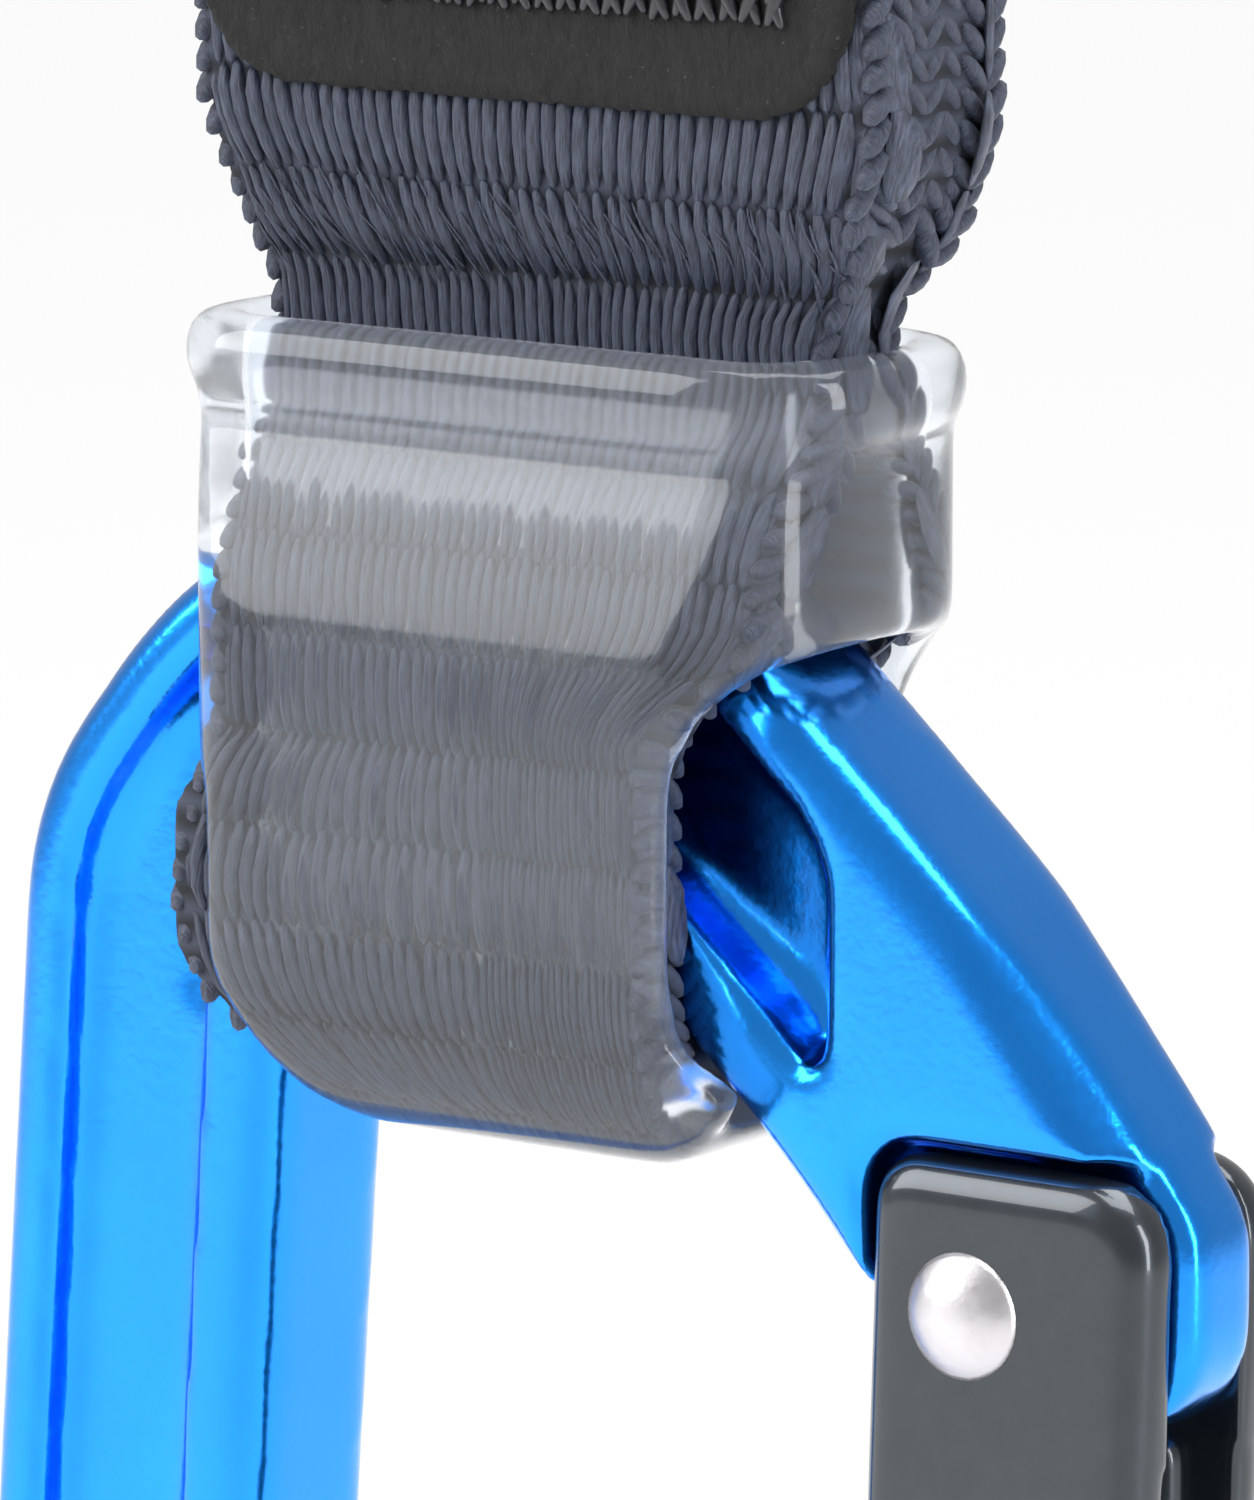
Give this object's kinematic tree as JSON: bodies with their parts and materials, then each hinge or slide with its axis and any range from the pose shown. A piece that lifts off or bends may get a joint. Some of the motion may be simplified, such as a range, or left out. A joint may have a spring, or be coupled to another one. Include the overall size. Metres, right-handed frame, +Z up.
{
  "type": "climbing quickdraw",
  "caption": "Two snap-gate carabiners joined by a short sewn webbing sling, the rope end with a bent gate held in a clear rubber keeper.",
  "frame": {"origin": "lowest bearing point of the bolt-end carabiner's basket, where it hangs on a bolt hanger", "axes": "+Z up, the quickdraw hangs along -Z; +X from the spines to the gates; +Y through the thickness"},
  "size_m": [0.0552, 0.0234, 0.2862],
  "materials": {
    "blue_anodised": "glossy blue anodised, hot forged",
    "gate_paint": "glossy black-grey paint",
    "steel": "satin stainless",
    "webbing": "slate navy woven nylon",
    "felt": "black felted suede",
    "thread": "glossy black thread",
    "clear_rubber": "clear, slightly milky"
  },
  "bodies": {
    "bolt_carabiner": {"bolt_carabiner_body": "blue_anodised"},
    "bolt_gate": {"bolt_gate": "gate_paint", "bolt_gate_rivet": "steel", "bolt_gate_spring": "steel"},
    "bolt_plunger": {"bolt_gate_plunger": "steel"},
    "sling": {"sling_webbing": "webbing", "handle_core": "webbing", "front_wear_patch": "felt", "rear_wear_patch": "felt", "lower_stitching": "thread", "upper_stitching": "thread"},
    "rope_carabiner": {"rope_carabiner_body": "blue_anodised", "keeper": "clear_rubber"},
    "rope_gate": {"rope_gate": "gate_paint", "rope_gate_rivet": "steel", "rope_gate_spring": "steel"},
    "rope_plunger": {"rope_gate_plunger": "steel"}
  },
  "joints": [
    {"name": "bolt_gate_hinge", "type": "hinge", "parent": "bolt_carabiner", "child": "bolt_gate", "pos_m": [0.02319, 0, -0.0657], "axis": [0, -1, 0], "range_deg": [0, 26], "stiffness_Nm_per_rad": 0.3, "springref_deg": -20.05},
    {"name": "bolt_plunger_slide", "type": "slide", "parent": "bolt_gate", "child": "bolt_plunger", "axis": [0, 0, 1], "range_m": [0, 0.000612], "deforming": ["bolt_gate_spring"]},
    {"name": "sling_swing", "type": "hinge", "parent": "bolt_carabiner", "child": "sling", "pos_m": [0.00556, 0, -0.0805], "axis": [1, 0, 0], "range_deg": [-30, 30]},
    {"name": "rope_carabiner_swing", "type": "hinge", "parent": "sling", "child": "rope_carabiner", "pos_m": [0.00556, 0, -0.166], "axis": [1, 0, 0], "range_deg": [-20, 20], "deforming": ["sling_webbing"]},
    {"name": "rope_gate_hinge", "type": "hinge", "parent": "rope_carabiner", "child": "rope_gate", "pos_m": [0.02319, 0, -0.1993], "axis": [0, 1, 0], "range_deg": [0, 26], "stiffness_Nm_per_rad": 0.3, "springref_deg": -20.05},
    {"name": "rope_plunger_slide", "type": "slide", "parent": "rope_gate", "child": "rope_plunger", "axis": [0, 0, -1], "range_m": [0, 0.000612], "deforming": ["rope_gate_spring"]}
  ],
  "couplings": [
    {"joint": "bolt_plunger_slide", "follows": "bolt_gate_hinge", "m_per_rad": 0.00135},
    {"joint": "rope_plunger_slide", "follows": "rope_gate_hinge", "m_per_rad": 0.00135}
  ]
}
